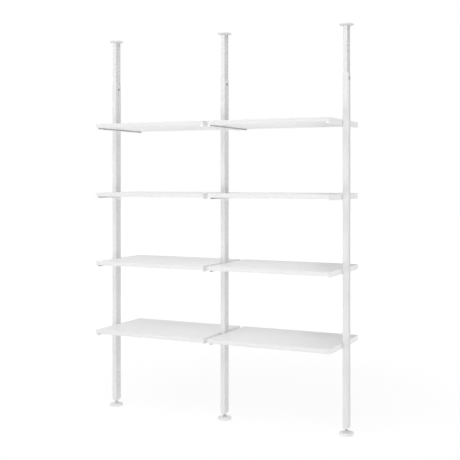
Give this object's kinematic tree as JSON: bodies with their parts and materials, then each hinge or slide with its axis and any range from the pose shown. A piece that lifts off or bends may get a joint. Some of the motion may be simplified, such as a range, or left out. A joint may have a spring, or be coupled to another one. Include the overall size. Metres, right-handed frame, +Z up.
{
  "type": "tension pole shelf unit",
  "caption": "White open shelf unit on telescoping posts clamped between floor and ceiling, with shelves hooked into slotted post sides on folded brackets.",
  "frame": {"origin": "on the floor under the middle of the middle post", "axes": "+X along the unit to its right-hand post, -Y towards the front, +Z up"},
  "size_m": [1.747, 0.51, 2.48],
  "materials": {
    "steel_white": "satin powder coat",
    "board_white": "white foil on particleboard, matt",
    "plastic_white": "moulded, fine grain",
    "zinc": "zinc plated",
    "rubber": "pale grey non-slip rubber"
  },
  "bodies": {
    "frame": {"bracket_l1_left": "steel_white", "bracket_l1_right": "steel_white", "bracket_l2_left": "steel_white", "bracket_l2_right": "steel_white", "bracket_l3_left": "steel_white", "bracket_l3_right": "steel_white", "bracket_l4_left": "steel_white", "bracket_l4_right": "steel_white", "bracket_r1_left": "steel_white", "bracket_r1_right": "steel_white", "bracket_r2_left": "steel_white", "bracket_r2_right": "steel_white", "bracket_r3_left": "steel_white", "bracket_r3_right": "steel_white", "bracket_r4_left": "steel_white", "bracket_r4_right": "steel_white", "clamp_inserts": "zinc", "collar_left": "plastic_white", "collar_middle": "plastic_white", "collar_right": "plastic_white", "edge_cover": "plastic_white", "foot_plug_left": "plastic_white", "foot_plug_middle": "plastic_white", "foot_plug_right": "plastic_white", "post_left": "steel_white", "post_middle": "steel_white", "post_right": "steel_white", "shelf_l1": "board_white", "shelf_l2": "board_white", "shelf_l3": "board_white", "shelf_l4": "board_white", "shelf_r1": "board_white", "shelf_r2": "board_white", "shelf_r3": "board_white", "shelf_r4": "board_white"},
    "telescope_left": {"tube_left": "steel_white", "shoe_left": "plastic_white", "ceiling_pad_left": "plastic_white", "ceiling_liner_left": "rubber"},
    "foot_left": {"foot_pad_left": "plastic_white", "foot_sole_left": "rubber"},
    "stem_left": {"foot_stem_left": "zinc"},
    "clamp_left": {"clamp_screw_left": "zinc"},
    "telescope_middle": {"tube_middle": "steel_white", "shoe_middle": "plastic_white", "ceiling_pad_middle": "plastic_white", "ceiling_liner_middle": "rubber"},
    "foot_middle": {"foot_pad_middle": "plastic_white", "foot_sole_middle": "rubber"},
    "stem_middle": {"foot_stem_middle": "zinc"},
    "clamp_middle": {"clamp_screw_middle": "zinc"},
    "telescope_right": {"tube_right": "steel_white", "shoe_right": "plastic_white", "ceiling_pad_right": "plastic_white", "ceiling_liner_right": "rubber"},
    "foot_right": {"foot_pad_right": "plastic_white", "foot_sole_right": "rubber"},
    "stem_right": {"foot_stem_right": "zinc"},
    "clamp_right": {"clamp_screw_right": "zinc"}
  },
  "joints": [
    {"name": "telescope_slide_left", "type": "slide", "parent": "frame", "child": "telescope_left", "axis": [0, 0, 1], "range_m": [-0.284, 1.02]},
    {"name": "foot_slide_left", "type": "slide", "parent": "frame", "child": "foot_left", "axis": [0, 0, 1], "range_m": [-0.025, 0.011]},
    {"name": "foot_screw_left", "type": "hinge", "parent": "foot_left", "child": "stem_left", "pos_m": [-0.83, 0, 0.019], "axis": [0, 0, 1], "range_deg": [-4502, 1982]},
    {"name": "clamp_turn_left", "type": "hinge", "parent": "frame", "child": "clamp_left", "pos_m": [-0.8138, 0, 2.15], "axis": [1, 0, 0], "range_deg": [0, 720]},
    {"name": "telescope_slide_middle", "type": "slide", "parent": "frame", "child": "telescope_middle", "axis": [0, 0, 1], "range_m": [-0.284, 1.02]},
    {"name": "foot_slide_middle", "type": "slide", "parent": "frame", "child": "foot_middle", "axis": [0, 0, 1], "range_m": [-0.025, 0.011]},
    {"name": "foot_screw_middle", "type": "hinge", "parent": "foot_middle", "child": "stem_middle", "pos_m": [0, 0, 0.019], "axis": [0, 0, 1], "range_deg": [-4502, 1982]},
    {"name": "clamp_turn_middle", "type": "hinge", "parent": "frame", "child": "clamp_middle", "pos_m": [0.0162, 0, 2.15], "axis": [1, 0, 0], "range_deg": [0, 720]},
    {"name": "telescope_slide_right", "type": "slide", "parent": "frame", "child": "telescope_right", "axis": [0, 0, 1], "range_m": [-0.284, 1.02]},
    {"name": "foot_slide_right", "type": "slide", "parent": "frame", "child": "foot_right", "axis": [0, 0, 1], "range_m": [-0.025, 0.011]},
    {"name": "foot_screw_right", "type": "hinge", "parent": "foot_right", "child": "stem_right", "pos_m": [0.83, 0, 0.019], "axis": [0, 0, 1], "range_deg": [-4502, 1982]},
    {"name": "clamp_turn_right", "type": "hinge", "parent": "frame", "child": "clamp_right", "pos_m": [0.8462, 0, 2.15], "axis": [1, 0, 0], "range_deg": [0, 720]}
  ],
  "couplings": [
    {"joint": "foot_screw_left", "follows": "foot_slide_left", "rad_per_m": 3141.6},
    {"joint": "foot_screw_middle", "follows": "foot_slide_middle", "rad_per_m": 3141.6},
    {"joint": "foot_screw_right", "follows": "foot_slide_right", "rad_per_m": 3141.6}
  ]
}
